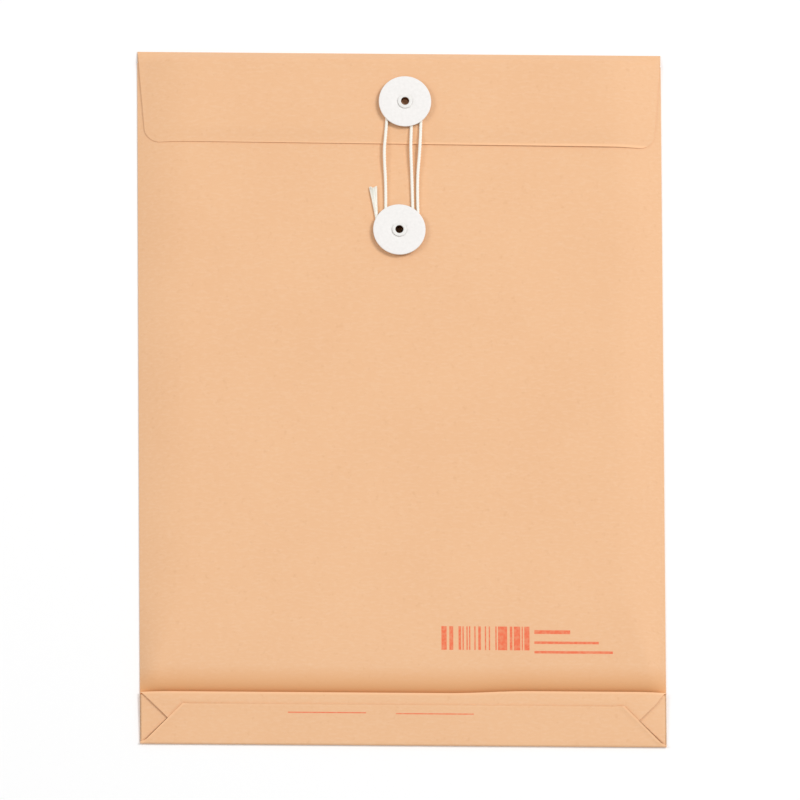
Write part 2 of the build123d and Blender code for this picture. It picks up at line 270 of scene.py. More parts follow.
def kraft_lines(tree, place, colours, crease, highlight_at, slant, crooked):
    """Layers of a kraft paper that follow its folds and cut edges, as kraft_paper lists its layers:
    painted shade above a crease, painted highlights along a fold and along slanted cut ends.
    """
    x = add(tree, "ShaderNodeSeparateXYZ", {0: place}, "X")
    height = add(tree, "ShaderNodeSeparateXYZ", {0: place}, "Y")
    if crooked:
        edges = {"Value": x, 1: CROOK_SPAN[0], 2: CROOK_SPAN[1], 3: 0.0, 4: CROOK}
        shift = add(tree, "ShaderNodeMapRange", edges, interpolation_type="SMOOTHSTEP")
        height = add(tree, "ShaderNodeMath", {0: height, 1: shift}, operation="SUBTRACT")
    lines = []
    # Painted shade: darkens the kraft for a reach above the crease, where shade falls
    if crease is not None:
        lines.append((height, crease, crease + CREASE_SHADE_REACH, CREASE_SHADE_AMOUNT, 0.0, colours.kraft_crease_painted_shade))
    # Painted highlight: a pale line along a fold
    if highlight_at is not None:
        away = add(tree, "ShaderNodeMath", {0: height, 1: highlight_at}, operation="SUBTRACT")
        away = add(tree, "ShaderNodeMath", {0: away}, operation="ABSOLUTE")
        lines.append((away, 0.0, HIGHLIGHT_REACH, HIGHLIGHT_AMOUNT, 0.0, colours.kraft_painted_highlight))
    # Painted highlight: pale lines along the slanted cut ends
    if slant is not None:
        outward = add(tree, "ShaderNodeMath", {0: x}, operation="ABSOLUTE")
        along = add(tree, "ShaderNodeMath", {0: outward, 1: height}, operation="ADD")
        inner = slant - sqrt(2) * HIGHLIGHT_REACH
        lines.append((along, slant, inner, HIGHLIGHT_AMOUNT, 0.0, colours.kraft_painted_highlight))
    return lines


def kraft_paper(colours, name, rules=(), bars=False, crease=None, highlight_at=None, slant=None, crooked=False):
    """Kraft board, machine glazed: long fibres lie mostly across the sheet, with small dark bark flecks,
    and the glazed face has a faint broad sheen. Real fibres are too fine to show and are drawn coarser."""
    material, tree, shader, place = start_material(name)
    streak = add(tree, "ShaderNodeMapping", {"Vector": place, "Scale": FIBRE_STRETCH})
    cloud = add(tree, "ShaderNodeTexNoise", pattern_inputs(place, *KRAFT_CLOUD))
    fibre = add(tree, "ShaderNodeTexNoise", pattern_inputs(streak, *KRAFT_FIBRE))
    fleck = add(tree, "ShaderNodeTexNoise", pattern_inputs(place, *KRAFT_FLECK))
    grain = add(tree, "ShaderNodeTexNoise", pattern_inputs(streak, *KRAFT_GRAIN))

    # Each layer: the value it follows, that value's span, the layer's amount at both ends, its colour
    layers = [
        (cloud, *NOISE_SPAN, 0.0, 0.14, colours.kraft_dark),
        (fibre, 0.45, 0.75, 0.0, 0.28, colours.kraft_pale),
        (fleck, 0.62, 0.8, 0.0, 0.3, colours.kraft_dark),
    ]
    # Painted shade and painted highlights that follow the folds and cut edges
    layers += kraft_lines(tree, place, colours, crease, highlight_at, slant, crooked)
    shade = colours.kraft
    for value, start, end, first, last, tint in layers:
        edges = {"Value": value, 1: start, 2: end, 3: first, 4: last}
        amount = add(tree, "ShaderNodeMapRange", edges)
        shade = add(tree, "ShaderNodeMix", {0: amount, 6: shade, 7: tint}, 2, data_type="RGBA")
    if rules:
        inputs = {0: print_mask(tree, place, rules, bars), 6: shade, 7: colours.ink}
        shade = add(tree, "ShaderNodeMix", inputs, 2, data_type="RGBA")
    tree.links.new(shade, shader.inputs["Base Color"])

    edges = {"Value": fibre, 1: NOISE_SPAN[0], 2: NOISE_SPAN[1], 3: 0.62, 4: 0.74}
    rough = add(tree, "ShaderNodeMapRange", edges)
    tree.links.new(rough, shader.inputs["Roughness"])
    bump = add(tree, "ShaderNodeBump", {"Height": grain, "Strength": 0.12, "Distance": BUMP_DEPTH})
    tree.links.new(bump, shader.inputs["Normal"])
    shader.inputs["IOR"].default_value = 1.5
    return material


def plain_kraft(colours):
    """Kraft board with no print and no painted shade or highlight, made once for all the pieces that show
    it.
    """
    return bpy.data.materials.get(PLAIN_KRAFT) or kraft_paper(colours, PLAIN_KRAFT)


def mottled_material(
    name, shade, pattern, shares, sockets,
    relief=0.0, gloss=None, kind="ShaderNodeTexNoise", span=NOISE_SPAN,
):
    """A material whose colour a pattern dims, to the shares at both ends of the pattern's span.
    Sockets are constants of the shader, relief is the pattern's bump and gloss its roughness, if any."""
    material, tree, shader, place = start_material(name)
    value = add(tree, kind, pattern_inputs(place, *pattern))
    edges = {"Value": value, 1: span[0], 2: span[1]}
    share = add(tree, "ShaderNodeMapRange", {**edges, 3: shares[0], 4: shares[1]})
    inputs = {0: 1.0, 6: shade, 7: share}
    dimmed = add(tree, "ShaderNodeMix", inputs, 2, data_type="RGBA", blend_type="MULTIPLY")
    tree.links.new(dimmed, shader.inputs["Base Color"])
    if gloss:
        rough = add(tree, "ShaderNodeMapRange", {**edges, 3: gloss[0], 4: gloss[1]})
        tree.links.new(rough, shader.inputs["Roughness"])
    if relief:
        bump = add(tree, "ShaderNodeBump", {"Height": value, "Strength": relief, "Distance": BUMP_DEPTH})
        tree.links.new(bump, shader.inputs["Normal"])
    for socket, constant in sockets.items():
        shader.inputs[socket].default_value = constant
    return material


def white_card(colours):
    """Coated white card, die cut: smooth and matt, with a faint felt of fibres in the coating."""
    sockets = {"Roughness": 0.55}
    return mottled_material(
        "white_card_die_cut", colours.card, CARD_FELT, (0.94, 1.0), sockets, relief=0.15
    )


def lacquered_brass(colours):
    """Thin brass, white lacquered before it is clinched: a low gloss with faint scuffs."""
    return mottled_material(
        "brass_white_lacquered", colours.lacquer, LACQUER_SCUFF, (0.9, 1.0), {}, gloss=(0.45, 0.3)
    )


def bore_brass_darkened_for_shade(colours):
    """Drawn brass, bare inside the barrel: dull and brown, with faint marks of the draw. Its brown is
    darker than bare brass: painted shade that deepens the hole.
    """
    sockets = {"Metallic": 1.0, "Roughness": 0.45}
    return mottled_material("brass_bare_darkened_for_bore_shade", colours.brass, DRAW_MARK, (0.8, 1.0), sockets)


def twisted_cotton(colours):
    """Bleached cotton yarn, ring spun and plied: matt, with a soft fuzz that catches the light."""
    sockets = {"Roughness": 0.9, "Sheen Weight": 0.3}
    return mottled_material(
        "cotton_yarn_plied", colours.cotton, COTTON_YARN, (0.96, 1.0), sockets, relief=0.2
    )


def dried_glue(colours):
    """Dried paper glue: a slightly glossy film with small bubbles."""
    sockets = {"Roughness": 0.4}
    return mottled_material(
        "paper_glue_dried", colours.glue, GLUE_BUBBLE, (1.0, 0.86), sockets,
        kind="ShaderNodeTexVoronoi", span=BUBBLE_SPAN,
    )


# Meshes

MERGE = 0.001 * MM
PUNCH_FINE = 2.5  # radii of a hole within which a sheet's faces are made finer
PUNCH_CUTS = 4
PUNCH_RIM = 1.6  # radii within which a hole's rim is drawn to its circle


def spaced(first, last, steps):
    """Evenly spaced values from first to last."""
    return [first + (last - first) * n / steps for n in range(steps + 1)]


def share_across(column, columns):
    """Place of a column across a sheet, from -1 to 1, with the columns closer at both ends."""
    return sin(pi / 2 * (2 * column / columns - 1))


def sheet_mesh(columns, rows, place):
    """A grid sheet whose vertex at column i and row j is put at place(i, j)."""
    bm = bmesh.new()
    bmesh.ops.create_grid(bm, x_segments=columns, y_segments=rows, size=1.0)
    for vert in bm.verts:
        vert.co = place(round((vert.co.x + 1) / 2 * columns), round((vert.co.y + 1) / 2 * rows))
    return bm


def turned_mesh(profile, centre, steps):
    """A closed profile of (radius, height) points, turned round an upright axis through centre."""
    bm = bmesh.new()
    verts = [bm.verts.new((centre.x + radius, centre.y, height)) for radius, height in profile]
    edges = [bm.edges.new(pair) for pair in zip(verts, verts[1:] + verts[:1])]
    bmesh.ops.spin(
        bm, geom=verts + edges, cent=centre, axis=(0, 0, 1), angle=2 * pi, steps=steps, use_merge=True
    )
    bmesh.ops.remove_doubles(bm, verts=bm.verts, dist=MERGE)
    bm.verts.index_update()

    def rank(face):
        numbers = [vert.index for vert in face.verts]
        return min(numbers) + max(numbers) / len(bm.verts)

    bm.faces.sort(key=rank)  # because a spin makes its faces in a chance order
    bmesh.ops.recalc_face_normals(bm, faces=bm.faces)
    return bm


def arc(centre, radius, first, last, steps):
    """Points of an arc in a (radius, height) profile, from one angle in degrees to another."""
    angles = [radians(angle) for angle in spaced(first, last, steps)]
    return [(centre[0] + radius * cos(a), centre[1] + radius * sin(a)) for a in angles]


def punch(bm, centre, radius):
    """Cuts a round hole in a sheet: finer faces round it first, then its rim drawn to the circle."""
    middle = centre.xy

    def reach(point):
        return (point.xy - middle).length

    near = [face for face in bm.faces if reach(face.calc_center_median()) < PUNCH_FINE * radius]
    edges = {edge for face in near for edge in face.edges}
    bmesh.ops.subdivide_edges(bm, edges=list(edges), cuts=PUNCH_CUTS, use_grid_fill=True)
    inside = [face for face in bm.faces if reach(face.calc_center_median()) < radius]
    bmesh.ops.delete(bm, geom=inside, context="FACES")
    for vert in bm.verts:
        if vert.is_boundary and reach(vert.co) < PUNCH_RIM * radius:
            vert.co.xy = middle + (vert.co.xy - middle).normalized() * radius


def mesh_from_bmesh(name, bm):
    """The mesh that a bmesh gives, with the bmesh freed."""
    mesh = bpy.data.meshes.new(name)
    bm.to_mesh(mesh)
    bm.free()
    return mesh


def place_piece(name, mesh, material, body, node, thickness=None):
    """Puts a finished mesh in the scene: smooth, at the origin, riding on its body in its node's stead.
    A sheet is the mesh of its outer face and gets its thickness inwards."""
    mesh.shade_smooth()
    mesh.materials.append(material)
    piece = bpy.data.objects.new(name, mesh)
    bpy.context.scene.collection.objects.link(piece)
    if thickness:
        wall = piece.modifiers.new("sheet", "SOLIDIFY")
        wall.thickness = thickness
        wall.offset = -1.0
        wall.use_even_offset = False
    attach(piece, body)
    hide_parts(node)
    return piece


def make_sheet(name, bm, material, body, node, thickness):
    """A kraft piece from the bmesh of its outer face."""
    place_piece(name, mesh_from_bmesh(name, bm), material, body, node, thickness)


# Form of the filled pocket

FOLD = PAPER  # radius of a side fold, two papers thick in all
FOLD_START = radians(58.0)  # where the slope runs into the side fold
FOLD_TOP = FOLD + FOLD * sin(FOLD_START)
SHEET_HALF = HALF_WIDTH - FOLD + FOLD * cos(FOLD_START)  # where the slope ends, from the middle
END_START_Y = CREASE_Y + 4.0 * MM  # where the front sheet starts to rise
EDGE_WEAR = 0.7 * MM  # by which the folded bottom falls short of its solids
FOLD_LINE_Y = INNER_HIGH.y - EDGE_WEAR
VALLEY = 0.12  # share of the height that is left in the valley against the folded bottom
VALLEY_STEEP = 0.44  # share of the height in its steep dip
VALLEY_REACH = 30 * MM  # above the folded bottom, where the rows lie closer
VALLEY_CLOSER = 1.5  # power by which they draw together towards the fold
NARROW_SHARE = 0.35  # of the shoulders' width that is left next to the folded bottom
NARROW_SPAN = (4 * MM, 60 * MM)  # above the fold, where the shoulders widen
CALM_SPAN = (45 * MM, 112.5 * MM)  # round the washers, from a flat sheet to full waves
WAVE_LENGTH = 110 * MM
WAVE_START = Vector((3.1, 7.4, 0.5))  # place in the noise that the waves are read from
WAVE_FADE_FLAP = 30 * MM  # below the flap's edge, in which the waves fade
WAVE_FADE_SIDE = 40 * MM  # from the sides
WAVE_FADE_END = 70 * MM  # from the bottom


def swell(distance, run, bend=2.0):
    """Share of the full height at a distance from a fold: steep at the fold, level after run."""
    share = min(max(distance / run, 0.0), 1.0)
    return 1 - (1 - share) ** bend


def smooth(value, low, high):
    """0 below low, 1 above high, with a soft step between."""
    share = min(max((value - low) / (high - low), 0.0), 1.0)
    return share * share * (3 - 2 * share)


def crook(x):
    """How far the bottom's upper fold is shifted up at x."""
    return CROOK * smooth(x, *CROOK_SPAN)


def side_height(sizes, x, y):
    """Height of the front sheet's shoulders, which are narrower next to the folded bottom."""
    wider = smooth(y - FOLD_LINE_Y, *NARROW_SPAN)
    run = sizes.shoulder_run * (NARROW_SHARE + (1 - NARROW_SHARE) * wider)
    return FOLD_TOP + (FRONT_TOP - FOLD_TOP) * swell(SHEET_HALF - abs(x), run)


def end_share(sizes, y):
    """Share of the front sheet's full height at y: it dips into a valley against the folded bottom."""
    past = y - FOLD_LINE_Y
    if past < 0:
        return VALLEY * (y - END_START_Y) / (FOLD_LINE_Y - END_START_Y) if y > END_START_Y else 0.0
    steep = VALLEY_STEEP * exp(-past / sizes.valley_run)
    gentle = (1 - VALLEY - VALLEY_STEEP) * exp(-past / sizes.end_run)
    return 1 - steep - gentle


def front_height(sizes, x, y):
    """Height of the front sheet's outer face, with its slopes and soft waves."""
    end = end_share(sizes, y)
    base = FOLD_TOP + (side_height(sizes, x, y) - FOLD_TOP) * end
    middle = (UPPER_TIE.xy + LOWER_TIE.xy) / 2
    away = smooth((Vector((x, y)) - middle).length, *CALM_SPAN)
    below_flap = 1 - smooth(y, FLAP_EDGE_Y - WAVE_FADE_FLAP, FLAP_EDGE_Y)
    edge = swell(SHEET_HALF - abs(x), WAVE_FADE_SIDE) * swell(y - END_START_Y, WAVE_FADE_END)
    ripple = noise.noise(Vector((x, y, 0)) / WAVE_LENGTH + WAVE_START)
    return base + sizes.wave * ripple * away * below_flap * edge


def across_stations(half_columns, roll_steps):
    """Places across the front sheet, from fold to fold: (x, None), or on a fold (None, angle)."""
    right = [(SHEET_HALF * sin(turn), None) for turn in spaced(0, pi / 2, half_columns)]
    right += [(None, angle) for angle in spaced(FOLD_START, -pi / 2, roll_steps)[1:]]
    left = [(None if x is None else -x, None if a is None else pi - a) for x, a in reversed(right[1:])]
    return left + right


class ENVELOPE_OT_pocket(bpy.types.Operator):
    """Builds the pocket: the back sheet and the front sheet, which turns round the side folds"""

    bl_idname = "envelope.pocket"
    bl_label = "Pocket"

    def execute(self, context):
        sizes, colours = context.scene.envelope_sizes, context.scene.envelope_colours
        kraft = plain_kraft(colours)
        # The front sheet's kraft carries the print and painted shade above the folded bottom's crease
        printed = kraft_paper(
            colours, "kraft_board_printed_with_painted_shade", FRONT_RULES, bars=True, crease=FOLD_LINE_Y, crooked=True
        )
        half_columns, roll_steps = 60, 8
        hidden_rows, valley_rows, flat_rows = 10, 40, 130
        stations = across_stations(half_columns, roll_steps)
        far = FOLD_LINE_Y + VALLEY_REACH
        rows = spaced(CREASE_Y, FOLD_LINE_Y, hidden_rows)[:-1]
        for n in range(valley_rows):
            rows.append(FOLD_LINE_Y + VALLEY_REACH * (n / valley_rows) ** VALLEY_CLOSER)
        rows += spaced(far, MOUTH_Y, flat_rows)

        def front_place(i, j):
            x, angle = stations[i]
            row = rows[j]
            side = 1 if i > len(stations) / 2 else -1
            shift = crook(side * HALF_WIDTH if x is None else x)
            y = row + shift * (1 - smooth(row, FOLD_LINE_Y, far))
            if x is None:
                x = side * (HALF_WIDTH - FOLD) + FOLD * cos(angle)
                return Vector((x, y, FOLD + FOLD * sin(angle)))
            return Vector((x, y, front_height(sizes, x, row)))

        front = sheet_mesh(len(stations) - 1, len(rows) - 1, front_place)
        punch(front, LOWER_TIE, PAPER_HOLE)
        make_sheet("front_sheet", front, printed, "pocket", "front_panel", sizes.sheet)

        columns, pocket_rows, mouth_rows = 24, 34, 4
        back_rows = spaced(BOTTOM_Y + FOLD, MOUTH_Y, pocket_rows)
        back_rows += spaced(MOUTH_Y, BACK_HIGH.y, mouth_rows)[1:]

        def back_place(i, j):
            half = HALF_WIDTH - (EDGE_INSET if j > pocket_rows else FOLD)
            return Vector((half * (2 * i / columns - 1), back_rows[j], PAPER))

        back = sheet_mesh(columns, len(back_rows) - 1, back_place)
        make_sheet("back_sheet", back, kraft, "pocket", "back_panel", PAPER)
        return {"FINISHED"}


# Block bottom

GLUE = 0.15 * MM
BOTTOM_DEPTH = FOLD_LINE_Y - BOTTOM_Y
FLAP_REACH = OUTER_HIGH.y - BOTTOM_Y - EDGE_WEAR
LEAN = (INNER_HIGH.z - 3 * PAPER) / (INNER_HIGH.y - BOTTOM_Y)  # rise per metre of the folded bottom
OUTER_LEVEL = 3 * PAPER + GLUE  # outer face of the lower flap, above the leaning plane
INNER_LEVEL = 2 * PAPER
BOTTOM_ROLL = (PAPER + OUTER_LEVEL) / 2
UPPER_ROLL = 0.45 * MM
END_SHARE = 0.35  # height left at the ends, where the bottom bends down to the side folds
END_BEND = 14 * MM
INNER_SLANT = 0.6 * MM  # of the inner flap's slanted ends, from the corners
OUTER_SLANT = 1.6 * MM  # of the outer flap's slanted ends
OUTER_END = HALF_WIDTH - OUTER_SLANT + BOTTOM_ROLL  # sum of both distances of those ends, out and up
EDGE_RISE_RUN = 0.5 * MM  # in which the inner flap stands up beside the outer flap's edge
EDGE_RISE_KEEP = 1.5 * MM  # above that edge, from where the rise fades
MIDDLE_RISE = 0.35  # share of that rise in the middle
RISE_SPAN = (55 * MM, 100 * MM)  # out from the middle, where it grows
CURL_RUN = 4 * MM  # in which a flap's slanted ends curl up
CURL_SHORT = 1 * MM  # by which a row is shorter than the fold before it curls
INNER_CURL_PART = 3  # the inner flap's ends curl this many times less
TUCK_MARGIN = 0.2 * MM  # of a tuck, from the bottom fold
TUCK_UNDERLAP = 1.2 * MM  # of a tuck, under the upper flap's slanted end
TUCK_SLOT = 0.55 * MM  # open slot between a tuck and the slanted end of the lower flap
TUCK_TIP = 0.01 * MM  # within which the points at a tuck's tip become one


def bottom_height(x, v, level):
    """Height of a layer of the folded bottom, v up from the bottom fold."""
    drop = END_SHARE + (1 - END_SHARE) * swell(HALF_WIDTH - abs(x), END_BEND)
    return PAPER + LEAN * v * drop + level


def beside_edge(sizes, x, v):
    """How far the inner flap stands up, beside the outer flap's upper edge and slanted ends."""
    past_end = (abs(x) + v - OUTER_END) / sqrt(2)
    past = max(v - FLAP_REACH, past_end, 0.0)
    amount = MIDDLE_RISE + (1 - MIDDLE_RISE) * smooth(abs(x), *RISE_SPAN)
    fade = 1 - smooth(v, FLAP_REACH + EDGE_RISE_KEEP, BOTTOM_DEPTH - UPPER_ROLL)
    return sizes.edge_rise * amount * fade * (1 - exp(-past / EDGE_RISE_RUN))


def fold_shift(x, v):
    """How far the inner flap is stretched up at a place, to meet the crook in its fold."""
    return crook(x) * smooth(v, FLAP_REACH, BOTTOM_DEPTH - UPPER_ROLL)


def bottom_sheet(stations, columns, curl, rise=None, shift=None):
    """A sheet of the folded bottom: stations are (v, half width, level above the plane, fixed height),
    and a station with a fixed height has no level."""

    def place(i, j):
        v, half, level, fixed = stations[j]
        x = half * share_across(i, columns)
        height = fixed if level is None else bottom_height(x, v, level)
        if half < HALF_WIDTH - CURL_SHORT:
            height += curl * (1 - smooth(half - abs(x), 0, CURL_RUN))
        if rise:
            height += rise(x, v)
        if shift:
            v += shift(x, v)
        return Vector((x, BOTTOM_Y + v, height))

    return sheet_mesh(columns, len(stations) - 1, place)


class ENVELOPE_OT_block_bottom(bpy.types.Operator):
    """Builds the block bottom, folded up on the front: two long flaps and two corner tucks"""

    bl_idname = "envelope.block_bottom"
    bl_label = "Block bottom"

    def execute(self, context):
        sizes, colours = context.scene.envelope_sizes, context.scene.envelope_colours
        kraft = plain_kraft(colours)
        # Painted highlight along the lower flap's slanted ends, with the printed rules
        ruled = kraft_paper(colours, "kraft_board_ruled_painted_highlight", BOTTOM_RULES, slant=BOTTOM_Y + OUTER_END)
        fold_v = BOTTOM_DEPTH - UPPER_ROLL
        # Painted highlight along the bottom's upper fold
        folded = kraft_paper(colours, "kraft_board_fold_painted_highlight", highlight_at=BOTTOM_Y + fold_v, crooked=True)
        roll_steps = 10

        outer_rows, outer_columns = 20, 90
        outer = []
        for v, z in arc((BOTTOM_ROLL, BOTTOM_ROLL), BOTTOM_ROLL, 270, 90, roll_steps):
            outer.append((v, HALF_WIDTH, None, z))
        for v in spaced(BOTTOM_ROLL, FLAP_REACH, outer_rows)[1:]:
            outer.append((v, HALF_WIDTH - OUTER_SLANT - (v - BOTTOM_ROLL), OUTER_LEVEL, None))
        bm = bottom_sheet(outer, outer_columns, sizes.end_curl)
        make_sheet("bottom_outer_sheet", bm, ruled, "pocket", "bottom_outer_flap", sizes.sheet)

        def rise(x, v):
            return beside_edge(sizes, x, v)

        inner_rows, inner_columns = 60, 260
        inner = []
        for v in spaced(BOTTOM_DEPTH - FLAP_REACH, fold_v, inner_rows):
            inner.append((v, HALF_WIDTH - INNER_SLANT - (fold_v - v), INNER_LEVEL, None))
        for v, level in arc((fold_v, INNER_LEVEL - UPPER_ROLL), UPPER_ROLL, 90, -90, roll_steps)[1:]:
            inner.append((v, HALF_WIDTH, level, None))
        bm = bottom_sheet(inner, inner_columns, sizes.end_curl / INNER_CURL_PART, rise, fold_shift)
        make_sheet("bottom_inner_sheet", bm, folded, "pocket", "bottom_inner_flap", sizes.sheet)

        for side, name in ((-1, "left"), (1, "right")):
            bm = tuck_mesh(side)
            make_sheet(f"corner_tuck_{name}", bm, kraft, "pocket", f"bottom_tuck_{name}", sizes.sheet)
        return {"FINISHED"}


def tuck_mesh(side):
    """One corner tuck: a triangle under the two flaps that runs on round the side fold."""
    slot = OUTER_SLANT - BOTTOM_ROLL - TUCK_SLOT
    depth = BOTTOM_DEPTH + crook(side * HALF_WIDTH)
    top = depth - 3 * PAPER
    reach = (depth + TUCK_UNDERLAP + slot) / 2
    flat_steps, roll_steps, rows = 14, 8, 16

    def place(i, j):
        inward = reach * max(1 - i / flat_steps, 0.0)
        low = max(inward - slot, TUCK_MARGIN)
        high = max(min(depth + TUCK_UNDERLAP - inward, top), low)
        v = low + (high - low) * j / rows
        if i <= flat_steps:
            x = HALF_WIDTH - inward
            return Vector((side * x, BOTTOM_Y + v, bottom_height(x, v, PAPER)))
        radius = bottom_height(HALF_WIDTH, v, PAPER) / 2
        angle = pi / 2 - pi * (i - flat_steps) / roll_steps
        x = HALF_WIDTH - radius * (1 - cos(angle))
        return Vector((side * x, BOTTOM_Y + v, radius + radius * sin(angle)))

    bm = sheet_mesh(flat_steps + roll_steps, rows, place)
    bmesh.ops.remove_doubles(bm, verts=bm.verts, dist=TUCK_TIP)
    if side < 0:
        bmesh.ops.reverse_faces(bm, faces=bm.faces)
    return bm


# Closing flap

FLAP_LIFT = FLAP_TOP - FRONT_TOP
ROLL = TOP_Y - HINGE.y
EDGE_INSET = 0.12 * MM  # of the flap's fold, from the envelope's side
ROLL_START = radians(28.0)  # where the spine runs into the rolled fold
ROLL_END = radians(-190.0)
EDGE_TILT = 0.65 * MM  # of the free edge: lower at its right end, higher at its left
SPINE_BEND = 1.25  # a nearly straight spine, which lies on the table when the flap is open
EDGE_SETTLE = 8 * MM  # in which the flap comes down to its free edge
SIDE_SETTLE = (5 * MM, 30 * MM)  # from the sides, in which it comes down to its side edges
SETTLE_RISE = 3  # times the flap's play, by which the spine has risen before it comes down in full


def flap_height(sizes, x, y):
    """Height of the closed flap's outer face."""
    over = side_height(sizes, x, y) + FLAP_LIFT
    start = HINGE.z + ROLL * sin(ROLL_START)
    rise = swell(HINGE.y + ROLL * cos(ROLL_START) - y, sizes.spine_run, SPINE_BEND)
    height = start + (over - start) * rise
    gap = sizes.left_gap + (sizes.right_gap - sizes.left_gap) * smooth(x, -HALF_WIDTH, HALF_WIDTH)
    play = FLAP_LIFT - PAPER  # between the level flap and the front sheet
    edge = (1 - gap / play) * (1 - smooth(y, FLAP_EDGE_Y, FLAP_EDGE_Y + EDGE_SETTLE))
    side = (1 - sizes.left_gap / play) * (1 - smooth(HALF_WIDTH - abs(x), *SIDE_SETTLE))
    drop = play * (1 - (1 - edge) * (1 - side))
    return height - drop * min(1.0, (height - start) / play / SETTLE_RISE)


class ENVELOPE_OT_closing_flap(bpy.types.Operator):
    """Builds the closing flap: a tapered sheet that runs over the spine into the rolled top fold"""

    bl_idname = "envelope.closing_flap"
    bl_label = "Closing flap"

    def execute(self, context):
        sizes, colours = context.scene.envelope_sizes, context.scene.envelope_colours
        # Painted highlight along the flap's free edge
        kraft = kraft_paper(colours, "kraft_board_edge_painted_highlight", highlight_at=FLAP_EDGE_Y)
        columns = 120
        corner_rows, flat_rows, roll_rows = 10, 34, 14
        top_half = HALF_WIDTH - EDGE_INSET
        end_y = HINGE.y + ROLL * cos(ROLL_START)
        stations = []
        for turn in spaced(0, pi / 2, corner_rows):
            stations.append((FLAP_EDGE_Y + sizes.flap_corner * (1 - cos(turn)), None))
        low_y = stations[-1][0]
        for turn in spaced(0, pi / 2, flat_rows)[1:]:
            stations.append((low_y + (end_y - low_y) * sin(turn), None))
        stations += [(None, angle) for angle in spaced(ROLL_START, ROLL_END, roll_rows)[1:]]

        def half_at(y):
            taper = sizes.flap_taper * (TOP_Y - y) / (TOP_Y - FLAP_EDGE_Y)
            inside = max(sizes.flap_corner - (y - FLAP_EDGE_Y), 0.0)
            return top_half - taper - sizes.flap_corner + sqrt(sizes.flap_corner**2 - inside**2)

        def place(i, j):
            y, angle = stations[j]
            share = share_across(i, columns)
            if y is None:
                y, z = HINGE.y + ROLL * cos(angle), HINGE.z + ROLL * sin(angle)
                return Vector((share * top_half, y, z))
            x = share * half_at(y)
            y -= EDGE_TILT * share * (end_y - y) / (end_y - FLAP_EDGE_Y)
            return Vector((x, y, flap_height(sizes, x, y)))

        flap = sheet_mesh(columns, len(stations) - 1, place)
        punch(flap, UPPER_TIE, PAPER_HOLE)
        make_sheet("flap_sheet", flap, kraft, "flap", "closing_flap", sizes.sheet)
        return {"FINISHED"}


# Washers and eyelets

WASHER_LOW, WASHER_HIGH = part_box("upper_washer")
EYELET_LOW, EYELET_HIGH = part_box("upper_eyelet")
WASHER_RADIUS = (WASHER_HIGH.x - WASHER_LOW.x) / 2
WASHER_CARD = WASHER_HIGH.z - WASHER_LOW.z
FLANGE_RADIUS = (EYELET_HIGH.x - EYELET_LOW.x) / 2
FLANGE = 0.5 * MM  # thickness of the eyelet's flange
BARREL_RADIUS = 2.3 * MM
BORE_RADIUS = 1.8 * MM
BORE_EDGE = 0.06 * MM  # how far the bare bore runs up its rounded mouth
CLINCH_RADIUS = 3.3 * MM
CLINCH = 0.4 * MM
MOUTH_ROLL = 0.45 * MM  # radius of the bore's rounded mouth
BORE_CHAMFER = 0.2 * MM
PAPER_HOLE = BARREL_RADIUS + 0.05 * MM
WASHER_HOLE = BARREL_RADIUS + 0.06 * MM
WASHER_EDGE = WASHER_CARD * 0.3  # radius of the card's rounded rim
FLANGE_DENT = 0.2 * MM  # which the flange presses into the card
DENT_RUN = 1.2 * MM  # in which the dent ends
STRING_WEAR = 0.35 * MM  # which the string has rubbed off the card's underside
WEAR_RUN = 0.4 * MM  # in which the wear starts, and its distance from the rim
TURN_STEPS = 96


def washer_profile(low, high):
    """Section of a card washer: a rounded rim, a dent under the flange, an underside rubbed by string."""
    rim = WASHER_RADIUS - WASHER_EDGE
    rings = spaced(FLANGE_RADIUS, rim, 5)
    dent = high - FLANGE_DENT
    profile = [(WASHER_HOLE, low), (FLANGE_RADIUS - WEAR_RUN, low)]
    profile += [(radius, low + STRING_WEAR) for radius in (*rings[:-1], rim - WEAR_RUN)]
    profile += arc((rim, low + WASHER_EDGE), WASHER_EDGE, -90, 0, 5)
    profile += arc((rim, high - WASHER_EDGE), WASHER_EDGE, 0, 90, 5)
    profile += [(radius, high) for radius in (*rings[-2:1:-1], FLANGE_RADIUS + DENT_RUN)]
    return profile + [(FLANGE_RADIUS, dent), (WASHER_HOLE, dent)]


class ENVELOPE_OT_washers(bpy.types.Operator):
    """Builds the two card washers that the string winds round"""

    bl_idname = "envelope.washers"
    bl_label = "Washers"

    def execute(self, context):
        card = white_card(context.scene.envelope_colours)
        for place in ("upper", "lower"):
            node = f"{place}_washer"
            low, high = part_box(node)
            bm = turned_mesh(washer_profile(low.z, high.z), centre_of(node), TURN_STEPS)
            name = f"{place}_card_washer"
            place_piece(name, mesh_from_bmesh(name, bm), card, f"{place}_disc", node)
        return {"FINISHED"}


def eyelet_profile(low, high):
    """Section of a hollow rivet: domed flange rolled into the bore, barrel, and a clinched end."""
    lip = FLANGE / 2
    profile = arc((BORE_RADIUS + MOUTH_ROLL, high - MOUTH_ROLL), MOUTH_ROLL, 180, 90, 6)
    profile += arc((FLANGE_RADIUS - lip, high - lip), lip, 90, -90, 8)
    profile += [(BARREL_RADIUS, high - FLANGE), (BARREL_RADIUS, low + CLINCH)]
    profile += arc((CLINCH_RADIUS - CLINCH / 2, low + CLINCH / 2), CLINCH / 2, 90, -90, 6)
    return profile + [(BORE_RADIUS + BORE_CHAMFER, low), (BORE_RADIUS, low + BORE_CHAMFER)]


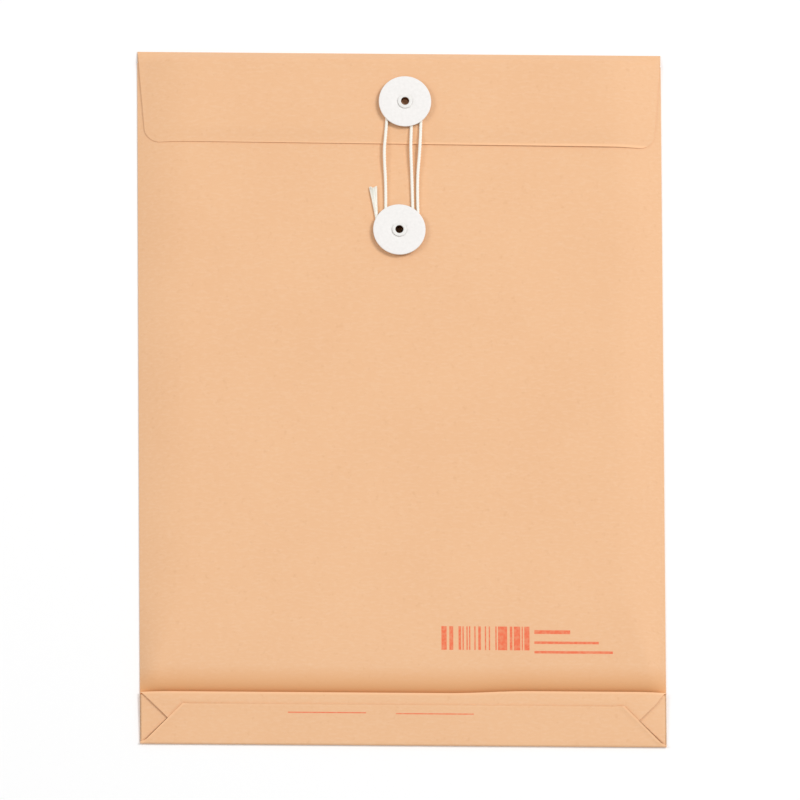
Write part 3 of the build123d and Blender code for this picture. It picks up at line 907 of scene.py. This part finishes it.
class ENVELOPE_OT_eyelets(bpy.types.Operator):
    """Builds the two hollow eyelets that hold the washers"""

    bl_idname = "envelope.eyelets"
    bl_label = "Eyelets"

    def execute(self, context):
        lacquer = lacquered_brass(context.scene.envelope_colours)
        bare = bore_brass_darkened_for_shade(context.scene.envelope_colours)
        for place, body in (("upper", "flap"), ("lower", "pocket")):
            node = f"{place}_eyelet"
            low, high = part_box(node)
            middle = centre_of(node)
            bm = turned_mesh(eyelet_profile(low.z, high.z), middle, TURN_STEPS)
            # The bore's faces get the darkened bare brass, which paints shade into the hole
            for face in bm.faces:
                reach = (face.calc_center_median().xy - middle.xy).length
                face.material_index = 1 if reach < BORE_RADIUS + BORE_EDGE else 0
            name = f"{place}_hollow_eyelet"
            piece = place_piece(name, mesh_from_bmesh(name, bm), lacquer, body, node)
            piece.data.materials.append(bare)
        return {"FINISHED"}


# String: one unbroken cord from the hitch on the upper eyelet to the frayed end

STRING_DIAMETER = 1.5 * MM
STRING_AIR = 0.1 * MM
UPPER_Z = FLAP_TOP + STRING_AIR + STRING_DIAMETER / 2  # the string's level on the flap
LOWER_Z = FRONT_TOP + STRING_AIR + STRING_DIAMETER / 2  # and on the front sheet
WRAP_STEP = 60.0  # degrees turned at each corner of a wrap
HITCH_RADIUS = BARREL_RADIUS + STRING_DIAMETER / 2 + STRING_AIR
INNER_WRAP = 6.4 * MM
UPPER_WRAP = 7.6 * MM
OUTER_WRAP = 9.0 * MM
FREE_Y = FLAP_EDGE_Y - 2.5 * MM  # strands leave the flap's level here
LAND_Y = FLAP_EDGE_Y - 17.0 * MM  # and reach the front sheet's level here


def wrap(centre, radius, first, last, z):
    """Corner points of a clockwise wrap round centre, from angle first down to angle last."""
    reach = radius / cos(radians(WRAP_STEP / 2))
    count = round((first - last) / WRAP_STEP) + 1
    angles = [radians(first - WRAP_STEP * n) for n in range(count)]
    return [(centre.x + reach * cos(a), centre.y + reach * sin(a), z) for a in angles]


STRING_ROUTE = [
    *wrap(UPPER_TIE, HITCH_RADIUS, 210, 30, UPPER_Z),
    (5.1 * MM, FREE_Y + 9.5 * MM, UPPER_Z),
    (4.7 * MM, FREE_Y, UPPER_Z),
    (5.3 * MM, LAND_Y, LOWER_Z),
    *wrap(LOWER_TIE, INNER_WRAP, -30, -150, LOWER_Z),
    (-6.6 * MM, LAND_Y - 3.5 * MM, LOWER_Z),
    (-7.6 * MM, FREE_Y - 2.0 * MM, UPPER_Z),
    (-6.4 * MM, FREE_Y + 9.0 * MM, UPPER_Z),
    *wrap(UPPER_TIE, UPPER_WRAP, 150, 30, UPPER_Z),
    (9.4 * MM, FREE_Y + 9.0 * MM, UPPER_Z),
    (8.9 * MM, FREE_Y - 1.0 * MM, UPPER_Z),
    (7.6 * MM, LAND_Y - 1.5 * MM, LOWER_Z),
    *wrap(LOWER_TIE, OUTER_WRAP, -30, -150, LOWER_Z),
    (-11.2 * MM, LOWER_TIE.y + 7.5 * MM, LOWER_Z),
    (-11.75 * MM, LOWER_TIE.y + 13.2 * MM, LOWER_Z),
]
PLY_RADIUS = 0.5 * MM
PLY_OFFSET = STRING_DIAMETER / 2 - PLY_RADIUS
LOOSE_RUN = 9 * MM  # last stretch of string, where the plies open
LOOSE_OFFSET = 0.3 * MM  # how much further out the plies stand at the end
LOOSE_THIN = 0.35  # share by which they are thinner there
END_POINTS = 8  # of the line, from which the direction of the string's end is read
FIBRE_RADIUS = 0.15 * MM
FIBRE_STEPS = 8
FIBRE_TAPER = 0.3  # share by which a fibre is thinner at its tip
FRAY_SEED = 7
FRAY_SHORTEST = 0.9  # share of the full length
FRAY_NOTCH = 0.06  # share by which the fibres in the middle are shorter
FRAY_BEND = 0.2 * MM
FRAY_ROOT = 0.5 * MM  # half width of the fan at its root
FRAY_SPREAD = 1.15 * MM  # by which that grows to the tips
FRAY_FLARE = 1.3  # power of that growth
FRAY_FLAT = 0.4  # share of the fan's width in its height


def curve_mesh(lines, kind, radius=0.0, roundness=0):
    """A mesh of round strands along lists of points, or with no radius the bare lines."""
    curve = bpy.data.curves.new("strands", "CURVE")
    curve.dimensions = "3D"
    curve.bevel_depth = radius
    curve.bevel_resolution = roundness
    curve.use_fill_caps = True
    for points in lines:
        spline = curve.splines.new(kind)
        spline.points.add(len(points) - 1)
        for point, place in zip(spline.points, points):
            point.co = (*place[:3], 1.0)
            point.radius = place[3] if len(place) > 3 else 1.0
        spline.order_u = 3
        spline.use_endpoint_u = True
        spline.resolution_u = 32
    holder = bpy.data.objects.new("strands", curve)
    mesh = bpy.data.meshes.new_from_object(holder)
    bpy.data.objects.remove(holder)
    bpy.data.curves.remove(curve)
    return mesh


def route_line():
    """Points along the string's smooth line, read from the NURBS spline through its route."""
    mesh = curve_mesh([STRING_ROUTE], "NURBS")
    line = [vert.co.copy() for vert in mesh.vertices]
    bpy.data.meshes.remove(mesh)
    return line


def along_line(line):
    """Each point with its distance along the line and two directions square to it that don't spin."""
    side = Vector((0, 0, 1))
    run = 0.0
    found = []
    for n, point in enumerate(line):
        ahead = (line[min(n + 1, len(line) - 1)] - line[max(n - 1, 0)]).normalized()
        side = (side - ahead * side.dot(ahead)).normalized()
        run += (point - line[n - 1]).length if n else 0.0
        found.append((point, run, side.copy(), ahead.cross(side)))
    return found


def ply_lines(sizes, line):
    """Centre lines of the twisted plies, which open towards the frayed end."""
    stations = along_line(line)
    whole = stations[-1][1]
    plies = []
    for ply in range(sizes.plies):
        points = []
        for point, run, side, other in stations:
            turn = 2 * pi * (run / sizes.ply_pitch + ply / sizes.plies)
            loose = smooth(run, whole - LOOSE_RUN, whole)
            offset = PLY_OFFSET + LOOSE_OFFSET * loose
            place = point + (side * cos(turn) + other * sin(turn)) * offset
            points.append((*place, 1 - LOOSE_THIN * loose))
        plies.append(points)
    return plies


def fray_lines(sizes, line, tip):
    """Loose fibres that fan out of the string's end, kept above the paper."""
    chance = random.Random(FRAY_SEED)
    ahead = (line[-1] - line[-END_POINTS]).normalized()
    across = ahead.cross(Vector((0, 0, 1))).normalized()
    floor = FRONT_TOP + STRING_AIR
    reach = tip + LOOSE_RUN
    fibres = []
    for n in range(sizes.fibres):
        side = 2 * (n + chance.random()) / sizes.fibres - 1
        lift = chance.uniform(-1, 1) * sqrt(1 - side * side)
        end = reach * (chance.uniform(FRAY_SHORTEST, 1.0) - FRAY_NOTCH * (1 - abs(side)))
        bend = chance.uniform(-FRAY_BEND, FRAY_BEND)
        points = []
        for t in spaced(0, 1, FIBRE_STEPS):
            spread = FRAY_ROOT + FRAY_SPREAD * t**FRAY_FLARE
            place = line[-1] + ahead * (end * t - LOOSE_RUN) + across * (spread * side + bend * t * t)
            place.z = max(place.z + FRAY_FLAT * spread * lift, floor)
            points.append((*place, 1 - FIBRE_TAPER * t))
        fibres.append(points)
    return fibres


class ENVELOPE_OT_tie_string(bpy.types.Operator):
    """Builds the wound cotton string and its frayed end, fastened at the flap's eyelet"""

    bl_idname = "envelope.tie_string"
    bl_label = "Tie string"

    def execute(self, context):
        sizes, colours = context.scene.envelope_sizes, context.scene.envelope_colours
        cotton = twisted_cotton(colours)
        line = route_line()
        mesh = curve_mesh(ply_lines(sizes, line), "POLY", PLY_RADIUS, 2)
        string = place_piece("wound_string", mesh, cotton, "flap", "tie_string")
        low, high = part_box("string_end_tuft")
        mesh = curve_mesh(fray_lines(sizes, line, high.y - low.y), "POLY", FIBRE_RADIUS, 1)
        tuft = place_piece("frayed_end", mesh, cotton, "flap", "string_end_tuft")
        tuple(STRING_ROUTE[0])
        for piece in (string, tuft):
            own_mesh(piece)
        return {"FINISHED"}


class ENVELOPE_OT_hidden_seams(bpy.types.Operator):
    """Gives the seam tab, the turned-back strip and the glue lines their finish"""

    bl_idname = "envelope.hidden_seams"
    bl_label = "Hidden seams"

    def execute(self, context):
        colours = context.scene.envelope_colours
        kraft = plain_kraft(colours)
        glue = dried_glue(colours)
        finish = {
            "side_seam_tab": kraft,
            "front_return_strip": kraft,
            "side_seam_glue": glue,
            "bottom_glue_line": glue,
        }
        for node, material in finish.items():
            frame["nodes"][node].material_slots[0].material = material
        return {"FINISHED"}


# Stage

CAMERA_AZIMUTH = radians(-9.18)
CAMERA_ELEVATION = radians(73.02)
CAMERA_ROLL = radians(9.22)
CAMERA_DISTANCE = 16.0
CAMERA_TARGET = Vector((-0.52 * MM, -0.48 * MM, 0.0))
SENSOR = 36.0
IMAGE_PIXELS = 800
PIXELS_PER_METRE = 2189.1
FLOOR_HALF = 20.0
FLOOR_GAP = 0.05 * MM
LIGHTS = [("key", (1.9, 1.0, 3.0), 64.0), ("fill", (-2.6, 0.4, 2.6), 24.0)]
LIGHT_SIZE = 1.2
WORLD_LEVEL = 0.52


class ENVELOPE_OT_stage(bpy.types.Operator):
    """Sets up the pale floor, the soft light and the camera"""

    bl_idname = "envelope.stage"
    bl_label = "Stage"

    def execute(self, context):
        scene = context.scene
        scene.view_settings.view_transform = "Standard"
        self.make_floor(scene)
        self.make_light(scene)
        self.make_camera(scene)
        return {"FINISHED"}

    def make_floor(self, scene):
        material, _, shader, _ = start_material("studio_floor_painted")
        shader.inputs["Base Color"].default_value = scene.envelope_colours.floor
        shader.inputs["Roughness"].default_value = 0.9
        bm = bmesh.new()
        bmesh.ops.create_grid(bm, x_segments=1, y_segments=1, size=FLOOR_HALF)
        bmesh.ops.translate(bm, verts=bm.verts, vec=(0, 0, -FLOOR_GAP))
        mesh = mesh_from_bmesh("studio_floor", bm)
        mesh.materials.append(material)
        floor = bpy.data.objects.new("studio_floor", mesh)
        scene.collection.objects.link(floor)

    def make_light(self, scene):
        for name, place, power in LIGHTS:
            data = bpy.data.lights.new(name, "AREA")
            data.energy = power
            data.size = LIGHT_SIZE
            light = bpy.data.objects.new(name, data)
            light.location = place
            light.rotation_euler = Vector(place).to_track_quat("Z", "Y").to_euler()
            scene.collection.objects.link(light)

        world = scene.world or bpy.data.worlds.new("studio")
        scene.world = world
        world.use_nodes = True
        tree = world.node_tree
        tree.nodes.clear()
        seen = add(tree, "ShaderNodeLightPath", output="Is Camera Ray")
        for ray in ("Is Glossy Ray", "Is Transmission Ray"):
            either = {0: seen, 1: add(tree, "ShaderNodeLightPath", output=ray)}
            seen = add(tree, "ShaderNodeMath", either, operation="MAXIMUM")
        level = add(tree, "ShaderNodeMapRange", {"Value": seen, 3: WORLD_LEVEL, 4: 1.0})
        sky = add(tree, "ShaderNodeBackground", {"Color": (1, 1, 1, 1), "Strength": level})
        tree.links.new(sky, tree.nodes.new("ShaderNodeOutputWorld").inputs["Surface"])

    def make_camera(self, scene):
        flat = cos(CAMERA_ELEVATION)
        back = Vector((sin(CAMERA_AZIMUTH) * flat, -cos(CAMERA_AZIMUTH) * flat, sin(CAMERA_ELEVATION)))
        right = Vector((0, 0, 1)).cross(back).normalized()
        up = back.cross(right)
        turned_right = right * cos(CAMERA_ROLL) + up * sin(CAMERA_ROLL)
        turned_up = up * cos(CAMERA_ROLL) - right * sin(CAMERA_ROLL)
        data = bpy.data.cameras.new("camera")
        data.sensor_width = SENSOR
        data.lens = SENSOR * PIXELS_PER_METRE * CAMERA_DISTANCE / IMAGE_PIXELS
        data.clip_end = 4 * FLOOR_HALF
        camera = bpy.data.objects.new("camera", data)
        turn = Matrix((turned_right, turned_up, back)).transposed().to_4x4()
        camera.matrix_world = Matrix.Translation(CAMERA_TARGET + back * CAMERA_DISTANCE) @ turn
        scene.collection.objects.link(camera)
        scene.camera = camera


class ENVELOPE_PT_looks(bpy.types.Panel):
    """Lists the envelope's sizes, colours and pieces"""

    bl_idname = "ENVELOPE_PT_looks"
    bl_label = "String tie envelope"
    bl_space_type = "VIEW_3D"
    bl_region_type = "UI"
    bl_category = "Envelope"

    def draw(self, context):
        for group in (context.scene.envelope_sizes, context.scene.envelope_colours):
            for name in group.__annotations__:
                self.layout.prop(group, name)
        for operator in OPERATORS:
            self.layout.operator(operator.bl_idname)


OPERATORS = (
    ENVELOPE_OT_stage,
    ENVELOPE_OT_tie_string,
    ENVELOPE_OT_pocket,
    ENVELOPE_OT_block_bottom,
    ENVELOPE_OT_closing_flap,
    ENVELOPE_OT_washers,
    ENVELOPE_OT_eyelets,
    ENVELOPE_OT_hidden_seams,
)
CLASSES = (EnvelopeSizes, EnvelopeColours, *OPERATORS, ENVELOPE_PT_looks)


def register():
    for cls in CLASSES:
        bpy.utils.register_class(cls)
    bpy.types.Scene.envelope_sizes = PointerProperty(type=EnvelopeSizes)
    bpy.types.Scene.envelope_colours = PointerProperty(type=EnvelopeColours)


def unregister():
    del bpy.types.Scene.envelope_colours
    del bpy.types.Scene.envelope_sizes
    for cls in reversed(CLASSES):
        bpy.utils.unregister_class(cls)


def main():
    register()
    bpy.ops.envelope.stage()
    bpy.ops.envelope.tie_string()
    bpy.ops.envelope.pocket()
    bpy.ops.envelope.block_bottom()
    bpy.ops.envelope.closing_flap()
    bpy.ops.envelope.washers()
    bpy.ops.envelope.eyelets()
    bpy.ops.envelope.hidden_seams()


if __name__ == "__main__":
    main()
